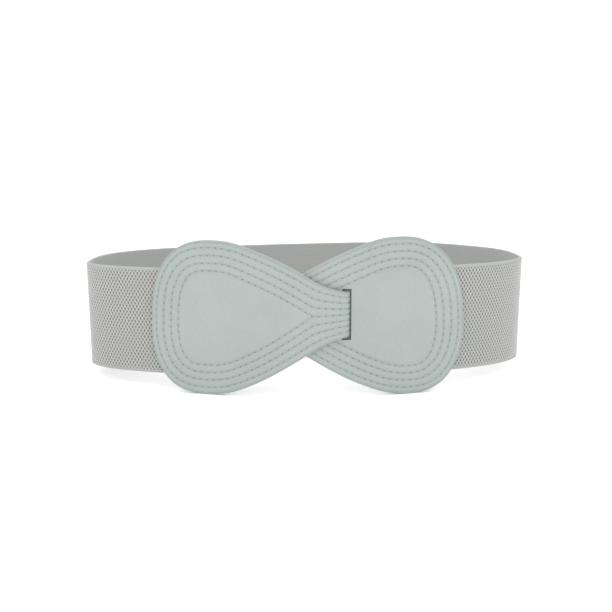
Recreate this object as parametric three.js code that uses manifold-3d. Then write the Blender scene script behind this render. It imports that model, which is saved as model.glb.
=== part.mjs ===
// A wide elastic waist belt: a woven stretch band closed at the front by two stitched leather
// panels. The left panel narrows to a tongue that passes through a slot in the right panel,
// turns back behind it and is held by a press stud. Millimetres, +X to the right seen from the
// front, +Y towards the back of the waist, +Z up. The origin is on the floor under the middle.

import * as THREE from 'three';
import * as BufferGeometryUtils from 'three/addons/utils/BufferGeometryUtils.js';
import Module from 'manifold-3d';

const wasm = await Module();
wasm.setup();

// The loop seen from above
const LOOP_HALF_WIDTH = 125.7; // side to side, to the middle of the band's thickness
const FRONT_DEPTH = 55.8; // from the widest line forwards
const BACK_DEPTH = 86.1; // from the widest line backwards
const FRONT_SQUARENESS = 2.0; // 2 is an ellipse, more is squarer
const BACK_SQUARENESS = 3;
const SLEW = 0.07; // how far the back is pushed round to the right, as a slope
const FLARE = 1.1; // how much further out the band's top edge stands at the sides

// The elastic band
const BAND_WIDTH = 60;
const BAND_THICKNESS = 1.8;
const BAND_EDGE_CHAMFER = 0.4;
const BAND_STATIONS = 128;
const FRONT_RAISE = 11.2; // the panels hold the band's front this far off the floor
const RAISE_TILT = 0.1; // share by which the right side stands higher, and the left lower
const REST_DEPTH = 5; // the rearmost part of the loop that lies flat on the floor
const RAISE_EASE = 0.05; // share of the loop's depth over which the slope begins

// Both leather panels
const PANEL_THICKNESS = 2.6;
const PANEL_CHAMFER = 0.5;
const TONGUE_WIDTH = 24.9;
const LAYER_GAP = 0.3; // between pieces that lie on each other
const LEFT_HEIGHT = 86.7;
const LEFT_ROUND_END = 33.0; // from the widest place to the outer end
const LEFT_ROUND_POWER = 2.5; // superellipse of the outer end; 2 is an ellipse
const LEFT_SLANT = 0.04; // the wide part is fuller at its lower outer corner, as a slope
const LEFT_TAPER = 76; // from the widest place to the full narrowness of the tongue
const LEFT_TONGUE_LIFT = 3.6; // how much higher the tongue's middle is than the panel's
const RIGHT_HEIGHT = 88.7;
const RIGHT_ROUND_END = 34.2;
const RIGHT_ROUND_POWER = 2.3;
const RIGHT_SLANT = 0.07;
const RIGHT_TAPER = 80.4;
const RIGHT_TIP_LIFT = 3;
const RIGHT_TAPER_KEPT = 0.87; // share of the taper left before the blunt hidden end
const END_CORNER_RADIUS = 8; // corners of the two hidden ends
const ROUND_STEPS = 12;
const TAPER_STEPS = 26;
const CORNER_STEPS = 4;
const SLOPE_STEP = 0.005; // share of the taper over which its slope is measured

// Stitched channels that follow the edge of each panel
const CHANNEL_ROWS = 4;
const CHANNEL_PITCH = 4.2;
const CHANNEL_DEPTH = 0.4;

// Slot, tongue and stud
const SLOT_NEAR_EDGE = 19.6; // right of the front centre, along the loop
const SLOT_TO_TAPER_END = 3.4; // the tongue is at full narrowness this far past the near edge
const SLOT_TO_RIGHT_WIDEST = 34.4;
const SLOT_SPARE_HEIGHT = 2.7;
const SLOT_DROP = 0.6; // the slot's middle is this much lower than the tongue's
const TURN_STEPS = 10;
const RETURN_STEPS = 8;
const RAMP_LENGTH = 42; // over which the left panel climbs onto the right one
const STUD_SETBACK = 10; // from the right panel's hidden end to the stud
const STUD_RADIUS = 6;
const STUD_POST_RADIUS = 2;
const STUD_CAP_RADIUS = 5;
const STUD_CAP_HEIGHT = 1.2;
const STUD_CHAMFER = 0.4;
const STUD_SIDES = 24;
const STUD_TO_TONGUE_END = 10;
const TONGUE_END_TO_BAND = 9;

// How the shape changes along a taper: at is the share of its length, full is the share of the
// difference between the panel's half height and the tongue's that is still there, and lifted
// is the share of the lift that the middle has climbed.
const TAPER_PROFILE = [
  { at: 0, full: 1, lifted: 0 },
  { at: 0.1, full: 0.985, lifted: 0.03 },
  { at: 0.2, full: 0.928, lifted: 0.11 },
  { at: 0.35, full: 0.78, lifted: 0.33 },
  { at: 0.5, full: 0.598, lifted: 0.56 },
  { at: 0.65, full: 0.384, lifted: 0.7 },
  { at: 0.8, full: 0.156, lifted: 0.82 },
  { at: 0.9, full: 0.056, lifted: 0.92 },
  { at: 1, full: 0, lifted: 1 },
];

const CREASE_ANGLE = 0.4; // radians; sharper edges than this stay sharp in the shading
const leather = { color: 0xb9c3c0, roughness: 0.55, metalness: 0 };
const elastic = { color: 0xb0b2af, roughness: 0.9, metalness: 0 };
const steel = { color: 0xc4c6c8, roughness: 0.35, metalness: 1 };

// Places that follow from the sizes. Along is measured on the loop from the front centre,
// to the right; out is measured outwards from the middle of the band's thickness.
const panelOut = BAND_THICKNESS / 2 + LAYER_GAP + PANEL_THICKNESS / 2;
const layerStep = PANEL_THICKNESS + LAYER_GAP;
const slotFarEdge = SLOT_NEAR_EDGE + layerStep + PANEL_THICKNESS / 2 + LAYER_GAP;
const leftWidest = SLOT_NEAR_EDGE + SLOT_TO_TAPER_END - LEFT_TAPER;
const rightWidest = SLOT_NEAR_EDGE + SLOT_TO_RIGHT_WIDEST;
const rightTip = rightWidest - RIGHT_TAPER_KEPT * RIGHT_TAPER;
const studAlong = rightTip - STUD_SETBACK;
const tongueEnd = studAlong - STUD_TO_TONGUE_END;
const bandEnd = Math.abs(tongueEnd - TONGUE_END_TO_BAND);
const tongueMiddle = LEFT_HEIGHT / 2 + LEFT_TONGUE_LIFT;
const returnOut = panelOut - layerStep;

const smooth = (share) => THREE.MathUtils.smoothstep(share, 0, 1);

// The closed plan of the loop, starting at the front centre and running to the right.
class LoopPlan extends THREE.Curve {
  getPoint(share, target = new THREE.Vector3()) {
    const angle = 2 * Math.PI * share - Math.PI / 2;
    const inFront = Math.sin(angle) < 0;
    const power = 2 / (inFront ? FRONT_SQUARENESS : BACK_SQUARENESS);
    const across = Math.sign(Math.cos(angle)) * Math.abs(Math.cos(angle)) ** power;
    const back = Math.sign(Math.sin(angle)) * Math.abs(Math.sin(angle)) ** power;
    const x = LOOP_HALF_WIDTH * across;
    const depth = inFront ? FRONT_DEPTH : BACK_DEPTH;
    return target.set(x, depth * back + SLEW * x * (1 + back), 0);
  }
}

const plan = new LoopPlan();
plan.arcLengthDivisions = 4000;
const loopLength = plan.getLength();

// Height of the band's lower edge above the floor at a place of the plan.
function bandRaise({ x, y }) {
  const restLine = BACK_DEPTH - REST_DEPTH;
  const forward = THREE.MathUtils.clamp((restLine - y) / (restLine + FRONT_DEPTH), 0, 1);
  const sideways = 1 + (RAISE_TILT * x) / LOOP_HALF_WIDTH;
  return (FRONT_RAISE * sideways * (1 + RAISE_EASE) * forward ** 2) / (forward + RAISE_EASE);
}

function loopFrame(along) {
  const share = THREE.MathUtils.euclideanModulo(along / loopLength, 1);
  const point = plan.getPointAt(share);
  const tangent = plan.getTangentAt(share);
  return { point, outward: new THREE.Vector3(tangent.y, -tangent.x, 0).normalize() };
}

// A point of the belt from its distance along the loop, outwards and above the floor.
function place(along, out, z) {
  const { point, outward } = loopFrame(along);
  const upBand = (z - bandRaise(point)) / BAND_WIDTH;
  const lean = FLARE * (upBand - 0.5) * Math.abs(outward.x);
  return point.clone().addScaledVector(outward, out + lean).setZ(z);
}

// Joins rings of equally many points into one closed body. A ring's point k faces the point
// as far from its end, so the two ends are closed by strips between those pairs.
function loft(rings) {
  const size = rings[0].length;
  const positions = rings.flat().flatMap((point) => point.toArray());
  const faces = [];
  const quad = (a, b, c, d) => faces.push([a, b, c], [a, c, d]);
  for (let r = 0; r + 1 < rings.length; r++) {
    for (let k = 0; k < size; k++) {
      const next = (k + 1) % size;
      quad(r * size + k, r * size + next, (r + 1) * size + next, (r + 1) * size + k);
    }
  }
  const last = (rings.length - 1) * size;
  for (let k = 0; k + 1 < size / 2; k++) {
    const facing = size - 1 - k;
    quad(k, facing, facing - 1, k + 1);
    quad(last + k, last + k + 1, last + facing - 1, last + facing);
  }
  const geometry = new THREE.BufferGeometry();
  geometry.setAttribute('position', new THREE.Float32BufferAttribute(positions, 3));
  geometry.setIndex(faces.flat());
  return closed(geometry);
}

// Merges points that coincide and drops the faces that this leaves without area.
function closed(geometry) {
  geometry.deleteAttribute('normal');
  geometry.deleteAttribute('uv');
  const merged = BufferGeometryUtils.mergeVertices(geometry);
  const corners = merged.index.array;
  const kept = [];
  for (let i = 0; i < corners.length; i += 3) {
    const [a, b, c] = corners.slice(i, i + 3);
    if (a !== b && b !== c && c !== a) kept.push(a, b, c);
  }
  merged.setIndex(kept);
  return merged;
}

function toSolid(geometry) {
  const merged = closed(geometry);
  const vertProperties = new Float32Array(merged.attributes.position.array);
  const triVerts = new Uint32Array(merged.index.array);
  return new wasm.Manifold(new wasm.Mesh({ numProp: 3, vertProperties, triVerts }));
}

function cut(geometry, cutter) {
  const mesh = toSolid(geometry).subtract(toSolid(cutter)).getMesh();
  const result = new THREE.BufferGeometry();
  result.setAttribute('position', new THREE.Float32BufferAttribute(mesh.vertProperties, 3));
  result.setIndex(Array.from(mesh.triVerts));
  return result;
}

function piece(name, geometry, finish) {
  const shaded = BufferGeometryUtils.toCreasedNormals(geometry, CREASE_ANGLE);
  const mesh = new THREE.Mesh(shaded, new THREE.MeshStandardMaterial(finish));
  mesh.name = name;
  return mesh;
}

// The band: a chamfered strip from behind the right panel, round the back, to behind the left.
function elasticBand() {
  const face = BAND_THICKNESS / 2;
  const edge = face - BAND_EDGE_CHAMFER;
  const top = BAND_WIDTH - BAND_EDGE_CHAMFER;
  const section = [
    [edge, BAND_WIDTH], [face, top], [face, BAND_EDGE_CHAMFER], [edge, 0],
    [-edge, 0], [-face, BAND_EDGE_CHAMFER], [-face, top], [-edge, BAND_WIDTH],
  ];
  const rings = [];
  for (let i = 0; i <= BAND_STATIONS; i++) {
    const along = THREE.MathUtils.lerp(bandEnd, loopLength - bandEnd, i / BAND_STATIONS);
    const bottom = bandRaise(loopFrame(along).point);
    rings.push(section.map(([out, up]) => place(along, out, bottom + up)));
  }
  return piece('elastic_band', loft(rings), elastic);
}

// One column of the profile at a share of the taper: a smooth curve through its rows, level
// at both ends.
function profileAt(share, column) {
  const wanted = THREE.MathUtils.clamp(share, 0, 1);
  const rows = TAPER_PROFILE;
  const slopeAt = (i) => {
    if (i === 0 || i === rows.length - 1) return 0;
    return (rows[i + 1][column] - rows[i - 1][column]) / (rows[i + 1].at - rows[i - 1].at);
  };
  const i = Math.min(rows.findLastIndex(({ at }) => at <= wanted), rows.length - 2);
  const gap = rows[i + 1].at - rows[i].at;
  const u = (wanted - rows[i].at) / gap;
  const ease = u * u * (3 - 2 * u);
  const bend = gap * u * (1 - u) * ((1 - u) * slopeAt(i) - u * slopeAt(i + 1));
  return THREE.MathUtils.lerp(rows[i][column], rows[i + 1][column], ease) + bend;
}

// A panel is lofted through stations. Each has its travel from the widest place, its half
// height, its middle, the pitch of its channels, and how far along and up its edge line is
// moved for each millimetre of inset. These stations make the round outer end.
function roundStations({ height, roundEnd, roundPower, slant }) {
  const half = height / 2;
  return Array.from({ length: ROUND_STEPS }, (_, i) => {
    const angle = (Math.PI / 2) * (1 - (i + 0.5) / (ROUND_STEPS + 0.5));
    const across = Math.sin(angle) ** (2 / roundPower);
    const up = Math.cos(angle) ** (2 / roundPower);
    const inwards = new THREE.Vector2(
      across ** (roundPower - 1) / roundEnd,
      up ** (roundPower - 1) / half,
    ).normalize();
    return {
      travel: -roundEnd * across, half: half * up, middle: half, pitch: CHANNEL_PITCH,
      insetAlong: inwards.x, insetUp: inwards.y, slant,
    };
  });
}

// A station of the tapering part. The corners of the end at travelEnd are rounded off.
function taperStation(travel, { height, taper, lift, slant, travelEnd }) {
  const half = height / 2;
  const tongueHalf = TONGUE_WIDTH / 2;
  const widthAt = (at) => tongueHalf + (half - tongueHalf) * profileAt(at / taper, 'full');
  const step = taper * SLOPE_STEP;
  const slope = (widthAt(travel + step) - widthAt(travel - step)) / (2 * step);
  const steepness = Math.hypot(1, slope);
  const toEnd = END_CORNER_RADIUS - (travelEnd - travel);
  const corner = toEnd > 0 ? END_CORNER_RADIUS - Math.sqrt(END_CORNER_RADIUS ** 2 - toEnd ** 2) : 0;
  const here = widthAt(travel) - corner;
  return {
    travel, half: here, middle: half + lift * profileAt(travel / taper, 'lifted'),
    pitch: Math.min(CHANNEL_PITCH, here / CHANNEL_ROWS / steepness),
    insetAlong: 0, insetUp: steepness, slant: slant * smooth(1 - travel / (taper / 2)),
  };
}

// Distances in from the edge and heights over the slab's middle, from the hidden face round
// the rim and over the channels to the plain middle of the shown face.
function panelSection({ half, insetUp, pitch }) {
  const face = PANEL_THICKNESS / 2;
  const line = [
    [PANEL_CHAMFER, -face], [0, -face + PANEL_CHAMFER], [0, face - PANEL_CHAMFER],
    [PANEL_CHAMFER, face],
  ];
  for (let row = 1; row <= CHANNEL_ROWS; row++) {
    line.push([row * pitch, face - CHANNEL_DEPTH]);
    if (row < CHANNEL_ROWS) line.push([(row + 0.5) * pitch, face]);
  }
  const spare = half / insetUp - CHANNEL_ROWS * pitch;
  const open = THREE.MathUtils.clamp(spare / (pitch / 2), 0, 1);
  line.push([(CHANNEL_ROWS + open / 2) * pitch, face - CHANNEL_DEPTH * (1 - open)]);
  return line;
}

// One ring of a panel. route turns a travel from the widest place and a height over the
// slab's middle into a distance along the loop and outwards.
function panelRing(station, route) {
  const side = (sign) => panelSection(station).map(([inset, over]) => {
    const up = sign * (station.half - inset * station.insetUp);
    const travel = station.travel + inset * station.insetAlong + up * station.slant;
    const { along, out } = route(travel, over);
    return place(along, out, station.middle + up);
  });
  return [...side(1), ...side(-1).reverse()];
}

// The left panel lies on the band, climbs onto the right panel, turns round the near edge of
// the slot and runs back behind the right panel.
function leftOut(along) {
  const climbed = smooth((along - (rightTip - RAMP_LENGTH)) / RAMP_LENGTH);
  return panelOut + layerStep * climbed;
}

function leftRoute(travel, over) {
  const toTurn = SLOT_NEAR_EDGE - leftWidest;
  const turnLength = Math.PI * layerStep;
  if (travel <= toTurn) {
    const along = leftWidest + travel;
    return { along, out: leftOut(along) + over };
  }
  const radius = layerStep + over;
  if (travel < toTurn + turnLength) {
    const angle = (travel - toTurn) / layerStep;
    return {
      along: SLOT_NEAR_EDGE + radius * Math.sin(angle),
      out: panelOut + radius * Math.cos(angle),
    };
  }
  return { along: SLOT_NEAR_EDGE - (travel - toTurn - turnLength), out: panelOut - radius };
}

function leftPanel() {
  const toTurn = SLOT_NEAR_EDGE - leftWidest;
  const afterTurn = toTurn + Math.PI * layerStep;
  const travelEnd = afterTurn + SLOT_NEAR_EDGE - tongueEnd;
  const shape = {
    height: LEFT_HEIGHT, roundEnd: LEFT_ROUND_END, roundPower: LEFT_ROUND_POWER,
    slant: LEFT_SLANT, taper: LEFT_TAPER, lift: LEFT_TONGUE_LIFT, travelEnd,
  };
  const travels = [
    ...evenly(0, toTurn, TAPER_STEPS), ...evenly(toTurn, afterTurn, TURN_STEPS),
    ...evenly(afterTurn, travelEnd - END_CORNER_RADIUS, RETURN_STEPS),
    ...evenly(travelEnd - END_CORNER_RADIUS, travelEnd, CORNER_STEPS), travelEnd,
  ];
  const rings = panelRings(shape, travels, leftRoute);
  return piece('left_panel', cut(loft(rings), studHoleCutter()), leather);
}

function evenly(from, to, steps) {
  return Array.from({ length: steps }, (_, i) => THREE.MathUtils.lerp(from, to, i / steps));
}

function panelRings(shape, travels, route) {
  const taper = travels.map((travel) => taperStation(travel, shape));
  return [...roundStations(shape), ...taper].map((station) => panelRing(station, route));
}

// The right panel lies on the band all the way. Its narrow end is cut short behind the left.
function rightPanel() {
  const travelEnd = rightWidest - rightTip;
  const shape = {
    height: RIGHT_HEIGHT, roundEnd: RIGHT_ROUND_END, roundPower: RIGHT_ROUND_POWER,
    slant: RIGHT_SLANT, taper: RIGHT_TAPER, lift: RIGHT_TIP_LIFT, travelEnd,
  };
  const travels = [
    ...evenly(0, travelEnd - END_CORNER_RADIUS, TAPER_STEPS),
    ...evenly(travelEnd - END_CORNER_RADIUS, travelEnd, CORNER_STEPS), travelEnd,
  ];
  const route = (travel, over) => ({ along: rightWidest - travel, out: panelOut + over });
  const rings = panelRings(shape, travels, route).reverse();
  return piece('right_panel', cut(loft(rings), slotCutter()), leather);
}

// Turns a shape whose +Y points outwards to its place on the loop.
function seat(object, along, out, z) {
  object.position.copy(place(along, out, z));
  object.quaternion.setFromUnitVectors(new THREE.Vector3(0, 1, 0), loopFrame(along).outward);
  object.updateMatrix();
  return object;
}

function seatedGeometry(geometry, along, out, z) {
  const holder = seat(new THREE.Object3D(), along, out, z);
  return geometry.applyMatrix4(holder.matrix);
}

function slotCutter() {
  const width = slotFarEdge - SLOT_NEAR_EDGE;
  const box = new THREE.BoxGeometry(width, 4 * PANEL_THICKNESS, TONGUE_WIDTH + SLOT_SPARE_HEIGHT);
  const middle = (slotFarEdge + SLOT_NEAR_EDGE) / 2;
  return seatedGeometry(box, middle, panelOut, tongueMiddle - SLOT_DROP);
}

function studHoleCutter() {
  const radius = STUD_POST_RADIUS + LAYER_GAP;
  const pin = new THREE.CylinderGeometry(radius, radius, 2 * PANEL_THICKNESS, STUD_SIDES);
  return seatedGeometry(pin, studAlong, returnOut, tongueMiddle);
}

// The stud: a disc behind the left panel, a post through the tongue and a cap inside the waist.
function pressStud() {
  const tongueFace = PANEL_THICKNESS / 2 + LAYER_GAP;
  const discTop = leftOut(studAlong - STUD_RADIUS) - tongueFace;
  const discBottom = returnOut + tongueFace;
  const capTop = returnOut - tongueFace;
  const capBottom = capTop - STUD_CAP_HEIGHT;
  const profile = [
    [0, capBottom], [STUD_CAP_RADIUS - STUD_CHAMFER, capBottom],
    [STUD_CAP_RADIUS, capBottom + STUD_CHAMFER], [STUD_CAP_RADIUS, capTop],
    [STUD_POST_RADIUS, capTop], [STUD_POST_RADIUS, discBottom], [STUD_RADIUS, discBottom],
    [STUD_RADIUS, discTop - STUD_CHAMFER], [STUD_RADIUS - STUD_CHAMFER, discTop], [0, discTop],
  ];
  const points = profile.map(([radius, height]) => new THREE.Vector2(radius, height));
  const geometry = closed(new THREE.LatheGeometry(points, STUD_SIDES));
  return seat(piece('press_stud', geometry, steel), studAlong, 0, tongueMiddle);
}

const belt = new THREE.Group();
belt.add(elasticBand(), leftPanel(), rightPanel(), pressStud());

// The origin goes to the floor under the middle of the belt.
const bounds = new THREE.Box3().setFromObject(belt, true);
const middle = bounds.getCenter(new THREE.Vector3());
belt.position.set(-middle.x, -middle.y, -bounds.min.z);

export default belt;
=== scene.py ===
# %% [markdown]
# # A wide elastic belt, closed by two stitched leather panels
# The belt stands on its edge, as a shop would show it. A woven stretch band runs round the
# back. In front two drop-shaped leather panels cross: the left one narrows to a tongue that
# goes through a slot in the right one and turns back behind it. The CAD frame gives every
# place and size, and this script gives the looks: weave, grain, stitched channels and thread.

# %% Load the frame
import math

import bmesh
import bpy
import numpy as np
from mathutils import Matrix, Vector


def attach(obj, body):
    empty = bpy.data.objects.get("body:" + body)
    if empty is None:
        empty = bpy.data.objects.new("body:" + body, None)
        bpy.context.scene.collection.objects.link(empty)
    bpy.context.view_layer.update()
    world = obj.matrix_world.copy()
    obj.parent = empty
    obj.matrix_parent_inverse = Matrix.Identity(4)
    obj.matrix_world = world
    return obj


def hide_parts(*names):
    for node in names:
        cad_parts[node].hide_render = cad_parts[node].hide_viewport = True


mm = 0.001
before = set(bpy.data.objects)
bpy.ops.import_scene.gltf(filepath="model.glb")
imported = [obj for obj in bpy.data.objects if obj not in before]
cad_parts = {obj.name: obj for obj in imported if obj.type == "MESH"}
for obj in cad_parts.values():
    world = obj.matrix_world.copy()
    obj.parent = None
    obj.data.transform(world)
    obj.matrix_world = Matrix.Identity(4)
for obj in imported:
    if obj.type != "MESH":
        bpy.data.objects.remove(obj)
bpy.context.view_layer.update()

# %% [markdown]
# ## One curve carries every piece
# A belt maker cuts and sews the pieces flat, then bends them round. This script works the
# same way. Each piece is shaped flat, with x along the belt, y through its thickness and z
# upwards, and is then wrapped onto the loop. The loop seen from above is two halves of a
# squared ellipse, rounder in front, with the back pushed a little to one side.

# %% The loop seen from above
half_width = 125.7 * mm
front_depth = 55.8 * mm
back_depth = 86.1 * mm
front_squareness = 2.0
back_squareness = 3.0
slew = 0.07
widest_line_y = -14.807 * mm


def plan_point(share):
    """Points of the loop at shares of a turn, from the front centre to the right."""
    angle = 2 * np.pi * np.asarray(share) - np.pi / 2
    in_front = np.sin(angle) < 0
    power = np.where(in_front, 2 / front_squareness, 2 / back_squareness)
    across = np.sign(np.cos(angle)) * np.abs(np.cos(angle)) ** power
    back = np.sign(np.sin(angle)) * np.abs(np.sin(angle)) ** power
    x = half_width * across
    y = np.where(in_front, front_depth, back_depth) * back + slew * x * (1 + back)
    return np.stack([x, y], axis=-1)


turn_shares = np.linspace(0, 1, 200001)
turn_steps = np.linalg.norm(np.diff(plan_point(turn_shares), axis=0), axis=1)
turn_lengths = np.concatenate([[0], np.cumsum(turn_steps)])
loop_length = turn_lengths[-1]
print("the loop is", round(loop_length / mm, 1), "mm round")

# %% [markdown]
# The panels are taller than the band, so they hold its front off the floor, and the band
# slopes down to the floor at the back. Its sides also lean outwards by a millimetre.

# %% Wrap a flat piece onto the loop
band_width = 60 * mm
front_raise = 11.2 * mm
raise_tilt = 0.1
rest_depth = 5 * mm
raise_ease = 0.05
flare = 1.1 * mm


def band_raise(point):
    """Height of the band's lower edge above the floor at points of the loop."""
    rest_line = back_depth - rest_depth
    forward = np.clip((rest_line - point[..., 1]) / (rest_line + front_depth), 0, 1)
    sideways = 1 + raise_tilt * point[..., 0] / half_width
    return front_raise * sideways * (1 + raise_ease) * forward**2 / (forward + raise_ease)


def loop_frame(along):
    """The loop's points and outward directions at distances along it."""
    share = np.interp(np.asarray(along) % loop_length, turn_lengths, turn_shares)
    step = 0.0001
    run = plan_point(share + step) - plan_point(share - step)
    run /= np.linalg.norm(run, axis=-1, keepdims=True)
    return plan_point(share), np.stack([run[..., 1], -run[..., 0]], axis=-1)


def place(along, out, up):
    """World places from distances along the loop, outwards of it and above the floor."""
    point, outward = loop_frame(along)
    lean = flare * ((up - band_raise(point)) / band_width - 0.5) * np.abs(outward[..., 0])
    flat = point + outward * (np.asarray(out) + lean)[..., None]
    return np.stack([flat[..., 0], flat[..., 1] + widest_line_y, up + 0 * along], axis=-1)


front_centre = place(np.array([0.0]), np.array([0.0]), np.array([0.04]))[0]
print("front centre of the loop in mm:", np.round(front_centre / mm, 2))

# %% [markdown]
# ## Camera
# The photograph was taken from a little above, with a long lens. Pitch, distance and focal
# length were fitted to the belt's outline.

# %% Camera
camera_pitch = math.radians(12.93)
camera_distance = 750 * mm
camera_target = Vector((-0.32 * mm, widest_line_y, 37.83 * mm))
focal_pixels = 1269.5
image_side = 612

camera_data = bpy.data.cameras.new("camera")
camera_data.sensor_width = 36
camera_data.lens = focal_pixels * camera_data.sensor_width / image_side
camera = bpy.data.objects.new("camera", camera_data)
camera.location = camera_target + camera_distance * Vector(
    (0, -math.cos(camera_pitch), math.sin(camera_pitch))
)
camera.rotation_euler = (math.pi / 2 - camera_pitch, 0, 0)
bpy.context.scene.collection.objects.link(camera)
bpy.context.scene.camera = camera
print("lens:", round(camera_data.lens, 2), "mm")

# %% [markdown]
# ## Light and floor
# The photograph has the even white light of a product table. A white world lights the belt
# from all round, a large softbox above gives the relief its shading, a weak one in front
# fills it, and the Standard view keeps whites white.

# %% World, softboxes and floor
bpy.context.scene.view_settings.view_transform = "Standard"
world = bpy.data.worlds.new("white_room")
world.use_nodes = True
world.node_tree.nodes["Background"].inputs["Color"].default_value = (1, 1, 1, 1)
world.node_tree.nodes["Background"].inputs["Strength"].default_value = 1.14
bpy.context.scene.world = world


def softbox(name, place_at, look_at, size, watts):
    light = bpy.data.lights.new(name, "AREA")
    light.size = size
    light.energy = watts
    holder = bpy.data.objects.new(name, light)
    holder.location = place_at
    direction = Vector(look_at) - Vector(place_at)
    holder.rotation_euler = direction.to_track_quat("-Z", "Y").to_euler()
    bpy.context.scene.collection.objects.link(holder)


softbox("softbox_above", (-0.1, -0.15, 1.2), (0, 0, 0.04), 1.6, 6.5)
softbox("softbox_front", (0.4, -1.2, 0.7), (0, 0, 0.04), 0.8, 1.6)

# %% [markdown]
# ## Materials out of nodes
# Every finish is made of procedural nodes. Two helpers keep the code readable: one turns a
# colour as seen on a screen into the linear colour that a shader needs, and one adds a node
# and joins its inputs.


# %% Node helpers
def seen(red, green, blue):
    """A screen colour, 0 to 255, as a linear colour."""
    def linear(v):
        v /= 255
        return v / 12.92 if v <= 0.04045 else ((v + 0.055) / 1.055) ** 2.4

    return (linear(red), linear(green), linear(blue), 1)


def new_finish(name, **sockets):
    finish = bpy.data.materials.new(name)
    finish.use_nodes = True
    shader = finish.node_tree.nodes["Principled BSDF"]
    for socket, value in sockets.items():
        shader.inputs[socket.replace("_", " ")].default_value = value
    return finish, shader


def add_node(finish, kind, feed=None, **settings):
    """Adds a node. feed gives its inputs, by name or number, as constants or sockets."""
    node = finish.node_tree.nodes.new("ShaderNode" + kind)
    for name, value in settings.items():
        setattr(node, name, value)
    for socket, value in (feed or {}).items():
        if isinstance(value, bpy.types.NodeSocket):
            finish.node_tree.links.new(value, node.inputs[socket])
        else:
            node.inputs[socket].default_value = value
    return node


def join(finish, socket, shader, name):
    finish.node_tree.links.new(socket, shader.inputs[name])


def math_node(finish, operation, first, second=0.0):
    return add_node(finish, "Math", {0: first, 1: second}, operation=operation).outputs[0]


# %% [markdown]
# The floor is a plain white table. It glows a little, like a lit sweep, so that the belt's
# shadow on it stays as pale as in the photograph.

# %% The white floor
floor_half = 4.0
floor_glow = 0.06
floor_mesh = bmesh.new()
bmesh.ops.create_grid(floor_mesh, x_segments=1, y_segments=1, size=floor_half)
floor_data = bpy.data.meshes.new("floor")
floor_mesh.to_mesh(floor_data)
floor_mesh.free()
floor = bpy.data.objects.new("floor", floor_data)
bpy.context.scene.collection.objects.link(floor)
floor_finish, floor_shader = new_finish(
    "white_table", Base_Color=(0.97, 0.97, 0.97, 1), Roughness=0.9
)
floor_shader.inputs["Specular IOR Level"].default_value = 0.1
floor_shader.inputs["Emission Color"].default_value = (1, 1, 1, 1)
floor_shader.inputs["Emission Strength"].default_value = floor_glow
floor_data.materials.append(floor_finish)
print("the floor reaches", floor_half, "m each way")

# %% [markdown]
# ## Finishing a flat piece
# A grid operator makes the faces, and a rule says where each crossing of the grid goes.
# Afterwards coinciding points are merged and open ends are closed. The piece is wrapped round
# the loop, its faces are turned outwards, and it rides on the belt's one body.


# %% Helpers for grids and pieces
def shaped_grid(spots, uv_name, shade=None):
    """A grid of faces whose crossing (i, j) goes to spots[i, j]. Its UV is the flat layout.

    shade gives each crossing a value of painted shade, kept as an attribute that a finish can read.
    """
    columns, rows = spots.shape[0] - 1, spots.shape[1] - 1
    bm = bmesh.new()
    bm.loops.layers.uv.new(uv_name)
    shade_layer = bm.verts.layers.float.new("shade") if shade is not None else None
    bmesh.ops.create_grid(bm, x_segments=columns, y_segments=rows, size=1.0, calc_uvs=True)
    for vertex in bm.verts:
        i = round((vertex.co.x + 1) / 2 * columns)
        j = round((vertex.co.y + 1) / 2 * rows)
        vertex.co = spots[i, j]
        if shade_layer:
            vertex[shade_layer] = shade[i, j]
    return bm


def close_up(bm, gap=0.5e-6):
    """Merges coinciding points, closes open ends and turns the faces outwards."""
    bmesh.ops.remove_doubles(bm, verts=bm.verts, dist=gap)
    bmesh.ops.dissolve_degenerate(bm, edges=bm.edges, dist=gap)
    bmesh.ops.holes_fill(bm, edges=[e for e in bm.edges if e.is_boundary], sides=0)
    bmesh.ops.recalc_face_normals(bm, faces=bm.faces)


def wrap(bm, route):
    """Bends a flat piece round the loop. route gives along and out for x and thickness.

    A route may mirror the piece, so its faces are turned outwards again.
    """
    flat = np.array([vertex.co for vertex in bm.verts])
    along, out = route(flat[:, 0], -flat[:, 1])
    for vertex, spot in zip(bm.verts, place(along, out, flat[:, 2])):
        vertex.co = spot
    bm.normal_update()
    bmesh.ops.recalc_face_normals(bm, faces=bm.faces)


def make_piece(name, bm, finishes, stands_for=(), sharp_from=60):
    mesh = bpy.data.meshes.new(name)
    bm.to_mesh(mesh)
    bm.free()
    mesh.polygons.foreach_set("use_smooth", [True] * len(mesh.polygons))
    mesh.set_sharp_from_angle(angle=math.radians(sharp_from))
    for finish in finishes:
        mesh.materials.append(finish)
    piece = bpy.data.objects.new(name, mesh)
    bpy.context.scene.collection.objects.link(piece)
    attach(piece, "root")
    if stands_for:
        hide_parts(*stands_for)
    triangles = sum(len(face.vertices) - 2 for face in mesh.polygons)
    print(name, "has", triangles, "triangles")
    return piece


# %% [markdown]
# ## The elastic band
# The band is woven stretch webbing. Outside, its yarns float in a staggered pattern: a light
# bump, then a dark gap, and each row moved by half against the next. Inside it has fine
# lengthwise ribs, and both edges are a plain selvedge. The band is made as a sheet rolled
# into a flat tube, with one crossing of the grid on every bump and every gap, so that the
# weave is real relief and not only a picture.

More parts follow.
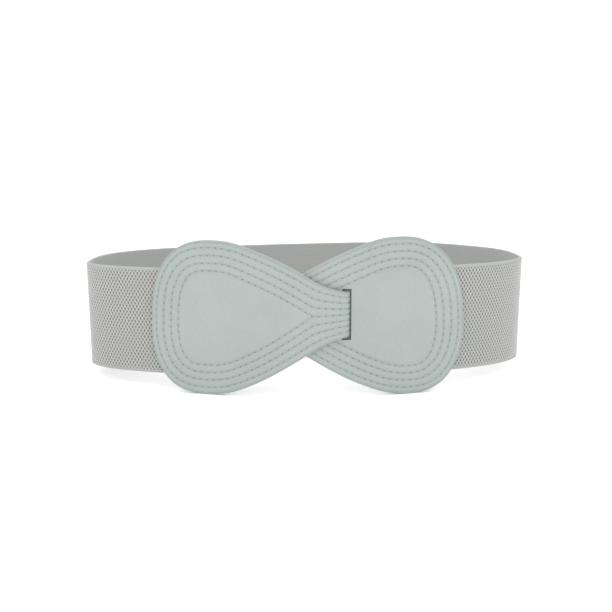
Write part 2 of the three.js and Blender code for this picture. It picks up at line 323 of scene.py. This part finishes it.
# %% Sizes of the weave
band_half_thick = 0.9 * mm
band_end = 44.95 * mm
gap_spacing = 1.1 * mm
gap_rows = 34
selvedge = 1.7 * mm
row_pitch = (band_width - 2 * selvedge) / (gap_rows - 1)
gap_depth = 0.34 * mm
bump_height = 0.1 * mm
rib_count = 42
rib_height = 0.05 * mm
rib_margin = 1.1 * mm
edge_round = 0.28 * mm
edge_flat = 0.95 * mm
edge_half = 0.5 * mm
band_length = loop_length - 2 * band_end
columns = 2 * round(band_length / gap_spacing / 2)
print("the band is", round(band_length / mm, 1), "mm long, with", columns, "columns of yarn")

# %% The band's section
outside_ups = [edge_round, edge_flat]
outside_ups += [selvedge + k * row_pitch / 2 for k in range(2 * gap_rows - 1)]
outside_ups += [band_width - edge_flat, band_width - edge_round]
rib_step = (band_width - 2 * rib_margin) / (2 * rib_count)
inside_ups = [band_width - edge_round]
inside_ups += [band_width - rib_margin - k * rib_step for k in range(2 * rib_count + 1)]
inside_ups += [edge_round]

section = [(band_half_thick, up) for up in outside_ups]
section += [(edge_half, band_width), (-edge_half, band_width)]
section += [(-band_half_thick, up) for up in inside_ups]
section += [(-edge_half, 0.0), (edge_half, 0.0), (band_half_thick, outside_ups[0])]
section = np.array(section)
outside_count = len(outside_ups)
inside_start = outside_count + 2
print("the section has", len(section) - 1, "sides")

# %% Give the section its weave and ribs
station = np.arange(columns + 1)
out = np.repeat(section[None, :, 0], columns + 1, axis=0)
up = np.repeat(section[None, :, 1], columns + 1, axis=0)
for row in range(gap_rows):
    is_gap = (station + row) % 2 == 0
    out[:, 2 + 2 * row] += np.where(is_gap, -gap_depth, bump_height)
for rib in range(rib_count):
    out[:, inside_start + 2 + 2 * rib] -= rib_height
along = np.repeat((band_end + band_length * station / columns)[:, None], len(section), axis=1)
floor_line = band_raise(loop_frame(along)[0])
print("deepest gap in mm:", round((band_half_thick - out[:, 2].min()) / mm, 2))

# %% [markdown]
# ### The finish of the band
# Three finishes share the band. Outside, the gaps are darker than the yarn, partly the darker core
# of the elastic and partly painted shade in the hollows, and fine strands run over each bump. Their
# pattern is read from the band's own flat layout, so it lies on the same crossings as the relief.
# Inside, the ribs have a finer knit between them, with painted shade in the hollows between the
# ribs.

# %% Yarn of the outer face
sides = len(section) - 1


def band_place(finish):
    """Along and around the band, counted in the grid's own steps."""
    layout = add_node(finish, "UVMap", uv_map="weave").outputs["UV"]
    parts = add_node(finish, "SeparateXYZ", {0: layout})
    steps = math_node(finish, "MULTIPLY", parts.outputs[0], float(columns))
    return steps, math_node(finish, "MULTIPLY", parts.outputs[1], float(sides))


def wave(finish, socket, turns, shift=0.0):
    """A cosine over the socket's value, with that many half turns for each unit."""
    moved = math_node(finish, "SUBTRACT", socket, shift)
    return math_node(finish, "COSINE", math_node(finish, "MULTIPLY", moved, math.pi * turns))


def halved(finish, socket, rest=0.5):
    """Half of the socket's value, plus a rest."""
    return math_node(finish, "ADD", math_node(finish, "MULTIPLY", socket, 0.5), rest)


def ramp(finish, socket, stops):
    node = add_node(finish, "ValToRGB", {0: socket})
    band = node.color_ramp
    while len(band.elements) < len(stops):
        band.elements.new(0.5)
    for element, (position, colour) in zip(band.elements, stops):
        element.position, element.color = position, colour
    return node.outputs[0]


def bump(finish, shader, height, distance, strength=1.0):
    node = add_node(finish, "Bump", {"Height": height, "Distance": distance, "Strength": strength})
    join(finish, node.outputs[0], shader, "Normal")


outer_finish, outer_shader = new_finish("woven_outside", Roughness=0.85, Sheen_Weight=0.42)
steps, around = band_place(outer_finish)
gap_or_bump = math_node(
    outer_finish, "MULTIPLY", wave(outer_finish, steps, 1.0), wave(outer_finish, around, 0.5, 2.0)
)
# Dark at the gaps, light on the bumps: partly the elastic's darker core, partly painted shade in
# the hollows.
yarn_colour_and_gap_shade = ramp(
    outer_finish,
    halved(outer_finish, gap_or_bump),
    [
        (0.0, seen(180, 181, 178)), (0.5, seen(162, 163, 160)),
        (0.75, seen(117, 118, 115)), (1.0, seen(80, 81, 78)),
    ],
)
join(outer_finish, yarn_colour_and_gap_shade, outer_shader, "Base Color")
strands = wave(outer_finish, steps, 8.0)
bump(outer_finish, outer_shader, strands, 0.02 * mm, 0.6)
print("woven outside:", len(outer_finish.node_tree.nodes), "nodes")

# %% Ribs of the inner face, and the selvedge
inner_finish, inner_shader = new_finish("ribbed_inside", Roughness=0.9, Sheen_Weight=0.1)
steps, around = band_place(inner_finish)
rib_share = halved(inner_finish, wave(inner_finish, around, 1.0, float(inside_start + 2)))
knit = wave(inner_finish, steps, 2.0)
both = math_node(inner_finish, "ADD", rib_share, math_node(inner_finish, "MULTIPLY", knit, 0.4))
# Darker between the ribs: painted shade in the hollows, with the knit's pattern laid over it.
rib_colour_and_hollow_shade = ramp(
    inner_finish,
    halved(inner_finish, both, 0.25),
    [(0.1, seen(150, 152, 150)), (0.9, seen(165, 167, 165))],
)
join(inner_finish, rib_colour_and_hollow_shade, inner_shader, "Base Color")
knit_height = math_node(inner_finish, "MULTIPLY", knit, rib_share)
bump(inner_finish, inner_shader, knit_height, 0.03 * mm, 0.5)

edge_finish, edge_shader = new_finish("selvedge", Roughness=0.85, Sheen_Weight=0.1)
steps, around = band_place(edge_finish)
edge_yarn = wave(edge_finish, steps, 3.0)
edge_colour = ramp(edge_finish, edge_yarn, [(0.0, seen(159, 160, 158)), (1.0, seen(170, 171, 168))])
join(edge_finish, edge_colour, edge_shader, "Base Color")
bump(edge_finish, edge_shader, edge_yarn, 0.03 * mm, 0.5)
print("inside and selvedge are ready")

# %% Roll the band, close its ends and wrap it
band_spots = np.stack([along, -out, floor_line + up], axis=-1)
band_bm = shaped_grid(band_spots, "weave")
layout = band_bm.loops.layers.uv.active
for face in band_bm.faces:
    row = sum(corner[layout].uv.y for corner in face.loops) / len(face.loops) * sides
    if 2 <= row < outside_count - 3:
        face.material_index = 0
    elif inside_start < row < inside_start + len(inside_ups) - 2:
        face.material_index = 1
    else:
        face.material_index = 2
close_up(band_bm)
wrap(band_bm, lambda x, thickness: (x, thickness))
band = make_piece(
    "stretch_band", band_bm, [outer_finish, inner_finish, edge_finish], ["elastic_band"]
)

# %% [markdown]
# ## The two leather panels
# Each panel is a drop of leather, padded a little, with four rows of stitching that follow
# its edge. The rows pull the leather down into channels and leave soft ridges between them.
# A panel is a closed slab made from one grid: its stations run from the round outer end to
# the narrow one, and at each station the grid goes round the slab, closely spaced over the
# channels. At the tip of the round end the ring of points closes to a line and is merged.

# %% Sizes of both panels
half_thick = 1.3 * mm
layer_gap = 0.3 * mm
panel_out = band_half_thick + layer_gap + half_thick
layer_step = 2 * half_thick + layer_gap
tongue_half = 12.45 * mm
end_corner = 8 * mm
slot_near, slot_far = 19.1 * mm, 24.0 * mm
row_count = 4
channel_depth = 0.26 * mm
channel_half = 0.6 * mm
crease_inset = 1.0 * mm
crease_depth = 0.12 * mm
crease_half = 0.35 * mm
# Strengths of the painted shade in the crease and the channels, and of the rim's darkening, partly
# edge paint and partly painted shade.
crease_shade, row_shade, rim_edge_paint_and_shade = 0.7, 0.4, 0.5
puff = 0.1 * mm
station_spacing = 1.0 * mm
tip_share = 0.87
stud_from_tip = 10 * mm
tongue_past_stud = 10 * mm
climb = 42 * mm

# Share of the taper's length, share of the extra width left, share of the lift climbed.
taper_rows = [
    (0, 1, 0), (0.1, 0.985, 0.03), (0.2, 0.928, 0.11), (0.35, 0.78, 0.33), (0.5, 0.598, 0.56),
    (0.65, 0.384, 0.7), (0.8, 0.156, 0.82), (0.9, 0.056, 0.92), (1, 0, 1),
]


def smooth(share):
    share = np.clip(share, 0, 1)
    return share * share * (3 - 2 * share)


def on_taper(share, column):
    """One column of the rows at shares of a taper, on a smooth curve through them."""
    at, value = np.array(taper_rows)[:, 0], np.array(taper_rows)[:, column]
    slope = np.concatenate([[0], (value[2:] - value[:-2]) / (at[2:] - at[:-2]), [0]])
    share = np.clip(share, 0, 1)
    i = np.clip(np.searchsorted(at, share, side="right") - 1, 0, len(at) - 2)
    gap = at[i + 1] - at[i]
    u = (share - at[i]) / gap
    bend = gap * u * (1 - u) * ((1 - u) * slope[i] - u * slope[i + 1])
    return value[i] + (value[i + 1] - value[i]) * u * u * (3 - 2 * u) + bend


print("half of the taper keeps", round(float(on_taper(0.5, 1)), 3), "of the extra width")

# %% The stations of a panel
left_shape = {
    "half": 43.35 * mm, "round_end": 33.0 * mm, "power": 2.5, "slant": 0.04,
    "taper": 76 * mm, "lift": 3.6 * mm, "widest": -53 * mm,
    "first_row": 4.0 * mm, "row_pitch": 4.25 * mm, "closer": 1.3 * mm, "spread": 0.0,
    "pad": 0.22 * mm,
}
right_shape = {
    "half": 44.35 * mm, "round_end": 34.2 * mm, "power": 2.3, "slant": 0.07,
    "taper": 80.4 * mm, "lift": 3.0 * mm, "widest": 54 * mm,
    "first_row": 3.8 * mm, "row_pitch": 4.1 * mm, "closer": 0.85 * mm, "spread": 0.09,
    "pad": 0.1 * mm,
}
right_tip = right_shape["widest"] - tip_share * right_shape["taper"]
stud_along = right_tip - stud_from_tip
turn_start = slot_near - left_shape["widest"]
turn_end = turn_start + math.pi * layer_step
left_shape["length"] = turn_end + slot_near - (stud_along - tongue_past_stud)
right_shape["length"] = right_shape["widest"] - right_tip


def round_stations(shape, spacing):
    """The round end, from its tip, in even steps along the outline."""
    fine = np.linspace(np.pi / 2, 0, 3000)
    power = shape["power"]
    across = np.sin(fine) ** (2 / power)
    upward = np.clip(np.cos(fine), 0, 1) ** (2 / power)
    run = np.hypot(np.diff(across * shape["round_end"]), np.diff(upward * shape["half"]))
    length = np.concatenate([[0], np.cumsum(run)])
    pick = np.linspace(0, length[-1], round(length[-1] / spacing), endpoint=False)
    across, upward = np.interp(pick, length, across), np.interp(pick, length, upward)
    inward = np.stack(
        [across ** (power - 1) / shape["round_end"], upward ** (power - 1) / shape["half"]]
    )
    inward /= np.linalg.norm(inward, axis=0)
    count = len(pick)
    return {
        "travel": -shape["round_end"] * across, "half": shape["half"] * upward,
        "inset_along": inward[0], "inset_up": inward[1], "squeeze": np.ones(count),
        "slant": np.full(count, shape["slant"]), "middle": np.full(count, shape["half"]),
        "closer": shape["closer"] * across**2, "spread": shape["spread"] * across**2,
        "first_row": np.full(count, shape["first_row"]),
    }


def taper_stations(shape, spacing):
    """The tapering part and the tongue. The hidden end's corners are rounded off."""
    end = shape["length"]
    before = np.arange(0, end - end_corner, spacing)
    corner = end - end_corner * (1 - np.sin(np.linspace(0, np.pi / 2, 12)))
    travel = np.concatenate([before, corner])

    def width(at):
        return tongue_half + (shape["half"] - tongue_half) * on_taper(at / shape["taper"], 1)

    step = 0.005 * shape["taper"]
    steep = np.hypot(1, (width(travel + step) - width(travel - step)) / (2 * step))
    past = np.clip(end_corner - (end - travel), 0, end_corner)
    half = width(travel) - (end_corner - np.sqrt(end_corner**2 - past**2))
    border = shape["first_row"] + (row_count - 1) * shape["row_pitch"]
    return {
        "travel": travel, "half": half, "inset_along": 0 * travel, "inset_up": steep,
        "squeeze": np.minimum(1, half / steep / border),
        "slant": shape["slant"] * smooth(1 - travel / (shape["taper"] / 2)),
        "middle": shape["half"] + shape["lift"] * on_taper(travel / shape["taper"], 2),
        "closer": 0 * travel, "spread": 0 * travel,
        "first_row": np.full(len(travel), shape["first_row"]),
    }


def stations_of(shape, spacing):
    round_part, taper_part = round_stations(shape, spacing), taper_stations(shape, spacing)
    return {key: np.concatenate([round_part[key], taper_part[key]]) for key in round_part}


def edge_line(stations, inset, side):
    """The line at an inset from the panel's edge, on its upper (1) or lower (-1) side."""
    nearer = stations["closer"] * np.minimum(1, inset / stations["first_row"])
    inset = (inset * (1 + stations["spread"]) - nearer) * stations["squeeze"]
    up = side * np.maximum(stations["half"] - inset * stations["inset_up"], 0)
    travel = stations["travel"] + inset * stations["inset_along"] + up * stations["slant"]
    return travel, stations["middle"] + up


left_stations = stations_of(left_shape, station_spacing)
right_stations = stations_of(right_shape, station_spacing)
print("stations:", len(left_stations["travel"]), "left,", len(right_stations["travel"]), "right")

# %% [markdown]
# The section of a panel starts on its hidden face, goes round the rolled rim, over the four
# channels and ends at the middle of the shown face. The other half is its mirror image. On
# the plain middle the leather swells a little, less on the right panel, because the left
# one lies over it.


# %% Channels, ridges and rim
def channel_relief(shape, across):
    """Height over the slab's face at insets counted before any squeeze."""
    first, pitch = shape["first_row"], shape["row_pitch"]
    nearest = np.clip(np.round((across - first) / pitch), 0, row_count - 1)
    groove = channel_depth * np.exp(-(((across - first - nearest * pitch) / channel_half) ** 2))
    ridges = np.sin(np.pi * np.clip((across - first) / pitch, 0, row_count - 1)) ** 2
    border = np.sin(np.pi * np.clip(across / first, 0, 1))
    swell = smooth((across - first - (row_count - 1) * pitch) / (9 * mm))
    crease = crease_depth * np.exp(-(((across - crease_inset) / crease_half) ** 2))
    return puff * (ridges + border) + shape["pad"] * swell - groove - crease


def channel_shade(shape, across, squeeze):
    """Painted shade: how much darker the leather is painted in the crease and in the channels of
    the rows.
    """
    first, pitch = shape["first_row"], shape["row_pitch"]
    nearest = np.clip(np.round((across - first) / pitch), 0, row_count - 1)
    row = row_shade * np.exp(-(((across - first - nearest * pitch) / channel_half) ** 2))
    crease = crease_shade * np.exp(-(((across - crease_inset) / crease_half) ** 2))
    return row * squeeze**2 + crease


def section_insets(shape):
    """Insets of the section's points, close together at each channel."""
    insets = [inset * mm for inset in (0.6, 0.8, 1.0, 1.2, 1.5, 2.1)]
    insets.append(shape["first_row"] - 1.1 * mm)
    for row in range(row_count):
        at = shape["first_row"] + row * shape["row_pitch"]
        insets += [at + d * mm for d in (-0.55, -0.25, 0, 0.25, 0.55)]
        if row < row_count - 1:
            insets += [at + share * shape["row_pitch"] for share in (0.3, 0.5, 0.7)]
    return insets


# Insets and shares of the half thickness, from the hidden face round the rim.
rim = [
    (0.3 * mm, -1.0), (0.06 * mm, -0.88), (0.0, -0.6),
    (0.0, 0.6), (0.06 * mm, 0.88), (0.3 * mm, 1.0),
]
middle_shares = [0.04, 0.1, 0.2, 0.35, 0.5]


def panel_spots(shape, stations):
    """Flat places and shades of the panel's grid: one ring of points at each station."""
    insets = section_insets(shape)
    last = insets[-1]
    reach = stations["half"] / np.maximum(stations["inset_up"], 0.3) / stations["squeeze"]
    on_taper_part = stations["inset_along"] == 0
    travel, height, over, shade = [], [], [], []

    def add(inset, share, thickness, side, dark=0.0):
        x, z = edge_line(stations, inset, side)
        up = (z - stations["middle"]) * (1 - 2 * share)
        travel.append(x - (z - stations["middle"] - up) * stations["slant"])
        height.append(stations["middle"] + up)
        over.append(thickness)
        shade.append(np.full_like(stations["half"], dark))

    def half_ring(side):
        for share in reversed(middle_shares):
            add(last, share, np.full_like(stations["half"], -half_thick), side)
        for inset in reversed(insets):
            add(inset, 0, np.full_like(stations["half"], -half_thick), side)
        # The rim is darkened: partly its edge paint, partly painted shade.
        for inset, face in rim:
            add(inset, 0, np.full_like(stations["half"], face * half_thick), side, rim_edge_paint_and_shade)
        for inset in insets:
            held = np.where(on_taper_part, np.minimum(inset, reach), inset)
            dark = channel_shade(shape, held, stations["squeeze"])
            add(inset, 0, half_thick + channel_relief(shape, held), side, dark)
        for share in middle_shares:
            inside = last + np.maximum(reach - last, 0) * 2 * share
            near_tip = last + stations["travel"] + shape["round_end"]
            inside = np.minimum(inside, np.maximum(near_tip, last))
            inside = np.where(on_taper_part, np.minimum(inside, reach), inside)
            add(last, share, half_thick + channel_relief(shape, inside), side)

    half_ring(1)
    turn_back = len(travel)
    half_ring(-1)
    for parts in (travel, height, over, shade):
        parts[turn_back:] = parts[turn_back:][::-1][1:]
    spots = np.stack([np.array(travel), -np.array(over), np.array(height)], axis=-1)
    return spots.transpose(1, 0, 2), np.array(shade).T


left_spots, left_shade = panel_spots(left_shape, left_stations)
print("a ring of a panel has", left_spots.shape[1], "points")

# %% [markdown]
# ### Leather
# The panels are smooth leather with a fine pebble grain and a soft, even sheen. The grain is
# a cell pattern with a finer noise in it. The colour drifts a little from place to place,
# and the pores between the pebbles are a touch darker.


# %% Leather finish
def multiply(finish, first, second):
    """The product of two colours."""
    node = add_node(finish, "Mix", data_type="RGBA", blend_type="MULTIPLY")
    node.inputs[0].default_value = 1.0
    for socket, value in ((6, first), (7, second)):
        finish.node_tree.links.new(value, node.inputs[socket])
    return node.outputs[2]


def leather_finish(name, light, dark, rough, shaded=False):
    """Pebble grain in two tones. shaded multiplies in painted shade from the piece's shade
    attribute.
    """
    finish, shader = new_finish(name, Roughness=rough)
    spot = add_node(finish, "TexCoord").outputs["Object"]
    cells = add_node(finish, "TexVoronoi", {"Vector": spot, "Scale": 1300.0}, feature="SMOOTH_F1")
    fine = add_node(finish, "TexNoise", {"Vector": spot, "Scale": 4200.0, "Detail": 3.0})
    drift = add_node(finish, "TexNoise", {"Vector": spot, "Scale": 45.0, "Detail": 4.0})
    colour = ramp(finish, drift.outputs[0], [(0.3, dark), (0.7, light)])
    pores = ramp(finish, cells.outputs[0], [(0.35, (1, 1, 1, 1)), (0.95, (0.9, 0.9, 0.9, 1))])
    colour = multiply(finish, colour, pores)
    if shaded:
        # Painted shade: the crease and the stitched channels darkened, and the rim darkened, partly
        # as edge paint and partly as painted shade.
        painted_shade = add_node(finish, "Attribute", attribute_name="shade").outputs["Fac"]
        painted_shade_tint = ramp(finish, painted_shade, [(0.0, (1, 1, 1, 1)), (1.0, (0.7, 0.74, 0.73, 1))])
        colour = multiply(finish, colour, painted_shade_tint)
    join(finish, colour, shader, "Base Color")
    rising = math_node(finish, "SUBTRACT", fine.outputs[0], cells.outputs[0])
    bump(finish, shader, rising, 0.05 * mm, 0.5)
    return finish


leather = leather_finish(
    "pale_leather", seen(159, 168, 165), seen(155, 164, 161), 0.5, shaded=True
)
# Dark edge colour for the slot's walls and lip: partly edge paint, partly painted shade for the
# slot's gap.
edge_paint_and_slot_shade = leather_finish("edge_paint_and_slot_shade", seen(112, 130, 125), seen(100, 118, 113), 0.7)
print("leather:", len(leather.node_tree.nodes), "nodes")

# %% [markdown]
# ### How the panels lie round the loop
# Both panels lie on the band. Towards the front the left one climbs onto the right one, and
# its tongue bends round the slot's near edge, through it and back behind the right panel.


# %% Routes of the two panels round the loop
def left_out(along):
    """How far out the left panel lies: on the band, then climbing onto the right panel."""
    return panel_out + layer_step * smooth((along - (right_tip - climb)) / climb)


def left_route(travel, over):
    """Along the front, round the near edge of the slot, and back behind the right panel."""
    along = left_shape["widest"] + travel
    out = left_out(along) + over
    radius = layer_step + over
    angle = np.clip((travel - turn_start) / layer_step, 0, math.pi)
    turning = (travel > turn_start) & (travel < turn_end)
    returning = travel >= turn_end
    along = np.where(turning, slot_near + radius * np.sin(angle), along)
    out = np.where(turning, panel_out + radius * np.cos(angle), out)
    along = np.where(returning, slot_near - (travel - turn_end), along)
    return along, np.where(returning, panel_out - radius, out)


def right_route(travel, over):
    """Along the front from the right. It mirrors the flat piece."""
    return right_shape["widest"] - travel, panel_out + over


# %% Left panel
left_bm = shaped_grid(left_spots, "layout", left_shade)
close_up(left_bm)
wrap(left_bm, left_route)
make_piece("left_leather", left_bm, [leather], ["left_panel"])

# %% [markdown]
# The right panel has the slot. While the panel is still flat, four plane cuts give the slot
# its straight sides. The faces inside are deleted from both skins, and a bridge between the
# two openings makes the slot's walls.

# %% Right panel and its slot
slot_low, slot_high = 32.3 * mm, 60.8 * mm
slot_x = [right_shape["widest"] - slot_far, right_shape["widest"] - slot_near]
right_spots, right_shade = panel_spots(right_shape, right_stations)
right_bm = shaped_grid(right_spots, "layout", right_shade)
close_up(right_bm)
for spot, way in (
    ((slot_x[0], 0, 0), (1, 0, 0)),
    ((slot_x[1], 0, 0), (1, 0, 0)),
    ((0, 0, slot_low), (0, 0, 1)),
    ((0, 0, slot_high), (0, 0, 1)),
):
    bmesh.ops.bisect_plane(
        right_bm,
        geom=right_bm.verts[:] + right_bm.edges[:] + right_bm.faces[:],
        dist=1e-7,
        plane_co=spot,
        plane_no=way,
    )


def in_slot(point, room=0.0):
    return (
        slot_x[0] - room < point.x < slot_x[1] + room
        and slot_low - room < point.z < slot_high + room
    )


inside = [face for face in right_bm.faces if in_slot(face.calc_center_median())]
bmesh.ops.delete(right_bm, geom=inside, context="FACES")
near = 0.01 * mm
mouths = [e for e in right_bm.edges if e.is_boundary and in_slot(e.verts[0].co, near)]
walls = bmesh.ops.bridge_loops(right_bm, edges=mouths)["faces"]
# The walls take the dark edge colour, partly edge paint and partly painted shade.
for face in walls:
    face.material_index = 1
print("slot: removed", len(inside), "faces, bridged", len(mouths), "edges")
wrap(right_bm, right_route)
make_piece("right_leather", right_bm, [leather, edge_paint_and_slot_shade], ["right_panel"])

# %% [markdown]
# The slot is cut a little wider in the face than in the backing. So a lip of backing stands round
# the tongue and fills the gap; its dark colour is partly edge paint and partly painted shade for
# the slot's gap. The lip is a grid of nine faces without the middle one, pulled out to a flat
# frame. Its outer edge sits in the slot's walls.

# %% Lip of the backing round the slot
tongue_middle = left_shape["half"] + left_shape["lift"]
lip_room = 0.25 * mm
lip_seat = 0.4 * mm
lip_width = 0.75 * mm
lip_back = 1.25 * mm
lip_thick = 1.35 * mm
lip_reach = tongue_half + lip_room
lip_x = [
    slot_x[0] - lip_seat, slot_x[0] + lip_width, slot_x[1] + 0.1 * mm, slot_x[1] + 0.5 * mm,
]
lip_z = [
    slot_low - lip_seat, tongue_middle - lip_reach, tongue_middle + lip_reach,
    slot_high + lip_seat,
]
lip_spots = np.array([[(x, lip_back, z) for z in lip_z] for x in lip_x])
lip_bm = shaped_grid(lip_spots, "layout")
middle_face = [face for face in lip_bm.faces if not any(v.is_boundary for v in face.verts)]
bmesh.ops.delete(lip_bm, geom=middle_face, context="FACES")
pulled = bmesh.ops.extrude_face_region(lip_bm, geom=lip_bm.faces[:])["geom"]
moved = [part for part in pulled if isinstance(part, bmesh.types.BMVert)]
bmesh.ops.translate(lip_bm, vec=(0, -lip_thick, 0), verts=moved)
print("open edges of the lip:", sum(edge.is_boundary for edge in lip_bm.edges))
wrap(lip_bm, right_route)
make_piece("slot_lip", lip_bm, [edge_paint_and_slot_shade], sharp_from=30)

# %% [markdown]
# ## Thread
# The stitches are long, and the thread has the leather's colour. Each stitch is a small rounded rod
# in its channel, and between them a flat dark bead of painted shade stands for the shadow in each
# needle hole. Both are laid along the same edge lines as the channels, still flat, and then
# wrapped.


# %% Rows of stitches
stitch_length = 3.8 * mm
stitch_gap = 0.35 * mm
thread_half, thread_thick, thread_rise = 0.3 * mm, 0.2 * mm, 0.05 * mm
hole_long, hole_wide, hole_thick, hole_rise = 0.75 * mm, 0.36 * mm, 0.12 * mm, 0.02 * mm
row_end_gap = 4 * mm
least_half = 1.4 * mm


def row_points(shape, stations, row):
    """Even points along one row: along the upper side, round the outer end and back."""
    inset = shape["first_row"] + row * shape["row_pitch"]
    inside_end = stations["travel"] < shape["length"] - row_end_gap
    upper = np.stack(edge_line(stations, inset, 1), axis=-1)[inside_end][::-1]
    from_middle = stations["half"] - inset * stations["squeeze"] * stations["inset_up"]
    off_middle = from_middle > least_half
    keep = inside_end & off_middle if row == row_count - 1 else inside_end
    lower = np.stack(edge_line(stations, inset, -1), axis=-1)[keep]
    line = np.concatenate([upper, lower[1:]])
    lengths = np.concatenate([[0], np.cumsum(np.linalg.norm(np.diff(line, axis=0), axis=1))])
    even = np.linspace(0, lengths[-1], round(lengths[-1] / stitch_length) + 1)
    return np.stack([np.interp(even, lengths, line[:, k]) for k in (0, 1)], axis=-1)


def bead(segments, rings):
    """A ball of radius 1 with few faces, to be copied for each stitch."""
    bm = bmesh.new()
    bmesh.ops.create_uvsphere(bm, u_segments=segments, v_segments=rings, radius=1.0)
    mesh = bpy.data.meshes.new("bead")
    bm.to_mesh(mesh)
    bm.free()
    return mesh


def lay(bm, ball, middle, run, long, wide, thick):
    """Adds a stretched copy of the ball, lying along run in the flat pattern."""
    side = Vector((run.z, 0, -run.x))
    turn = Matrix((side * wide, Vector((0, -thick, 0)), run * long)).transposed().to_4x4()
    copy = ball.copy()
    copy.transform(Matrix.Translation(middle) @ turn)
    bm.from_mesh(copy)
    bpy.data.meshes.remove(copy)


rod_ball, hole_ball = bead(6, 6), bead(6, 4)


def sew(name, shape, stations, route, open_at=None):
    """All stitches of a panel, and dark beads of painted shade at its needle holes. None are sewn
    where open_at says so.
    """
    threads, holes = bmesh.new(), bmesh.new()
    long = stitch_length / 2 - stitch_gap
    groove = half_thick - channel_depth
    for row in range(row_count):
        points = row_points(shape, stations, row)
        for start, end in zip(points, points[1:]):
            first, second = Vector((start[0], 0, start[1])), Vector((end[0], 0, end[1]))
            if open_at and open_at((first + second) / 2, 1.5 * mm):
                continue
            run = (second - first).normalized()
            middle = (first + second) / 2 + Vector((0, -groove - thread_rise, 0))
            lay(threads, rod_ball, middle, run, long, thread_half, thread_thick)
            # A dark bead of painted shade for the shadow in the needle hole.
            spot = first + Vector((0, -groove - hole_rise, 0))
            lay(holes, hole_ball, spot, run, hole_long, hole_wide, hole_thick)
    for bm in (threads, holes):
        wrap(bm, route)
    make_piece(name + "_thread", threads, [thread])
    make_piece(name + "_hole_shade_beads", holes, [hole_shade_finish])


# %% Thread finish and painted shade of the needle holes
thread = leather_finish("sewing_thread", seen(158, 166, 163), seen(153, 161, 158), 0.6)
# Painted shade: dark beads for the shadow inside each needle hole.
hole_shade_finish = leather_finish("needle_hole_shade", seen(124, 138, 134), seen(112, 126, 122), 0.9)
sew("left", left_shape, left_stations, left_route)
sew("right", right_shape, right_stations, right_route, in_slot)
for ball in (rod_ball, hole_ball):
    bpy.data.meshes.remove(ball)

# %% [markdown]
# ## The press stud
# Behind the right panel the tongue is held by a press stud: a disc behind the left panel, a
# post through the tongue and a domed cap inside the waist. It is a turned part, so its
# profile is spun once round.

# %% Press stud
# Radius and height in mm, from the cap inside the waist outwards to the disc.
stud_profile = [
    (0, -3.02), (1.1, -3.02), (1.5, -2.86), (2.3, -2.8), (2.8, -2.96), (3.6, -3.17),
    (4.3, -3.2), (4.75, -3.02), (5.0, -2.65), (4.95, -2.3), (4.6, -2.02), (2.0, -2.0),
    (2.0, 1.2), (5.6, 1.2), (5.9, 1.35), (6.0, 1.7), (5.98, 2.3), (5.8, 2.65), (5.4, 2.8),
    (4.4, 2.82), (4.0, 2.7), (1.0, 2.7), (0, 2.7),
]
stud_bm = bmesh.new()
previous = None
for radius, height in stud_profile:
    vertex = stud_bm.verts.new((radius * mm, 0, height * mm))
    if previous:
        stud_bm.edges.new((previous, vertex))
    previous = vertex
bmesh.ops.spin(
    stud_bm, geom=stud_bm.verts[:] + stud_bm.edges[:], cent=(0, 0, 0), axis=(0, 0, 1),
    dvec=(0, 0, 0), angle=2 * math.pi, steps=72, use_merge=True,
)
close_up(stud_bm)
stud_spot = place(np.array([stud_along]), np.array([0.0]), np.array([tongue_middle]))[0]
stud_way = loop_frame(np.array([stud_along]))[1][0]
stud_turn = Vector((stud_way[0], stud_way[1], 0)).to_track_quat("Z", "Y").to_matrix().to_4x4()
bmesh.ops.transform(stud_bm, matrix=Matrix.Translation(stud_spot) @ stud_turn, verts=stud_bm.verts)

steel, steel_shader = new_finish("satin_nickel", Metallic=1.0, Roughness=0.3)
spot = add_node(steel, "TexCoord").outputs["Object"]
scratches = add_node(steel, "TexNoise", {"Vector": spot, "Scale": 2500.0, "Detail": 4.0})
tone = ramp(steel, scratches.outputs[0], [(0.3, seen(190, 192, 194)), (0.7, seen(206, 208, 209))])
join(steel, tone, steel_shader, "Base Color")
bump(steel, steel_shader, scratches.outputs[0], 0.01 * mm, 0.4)
make_piece("snap_stud", stud_bm, [steel], ["press_stud"], sharp_from=45)
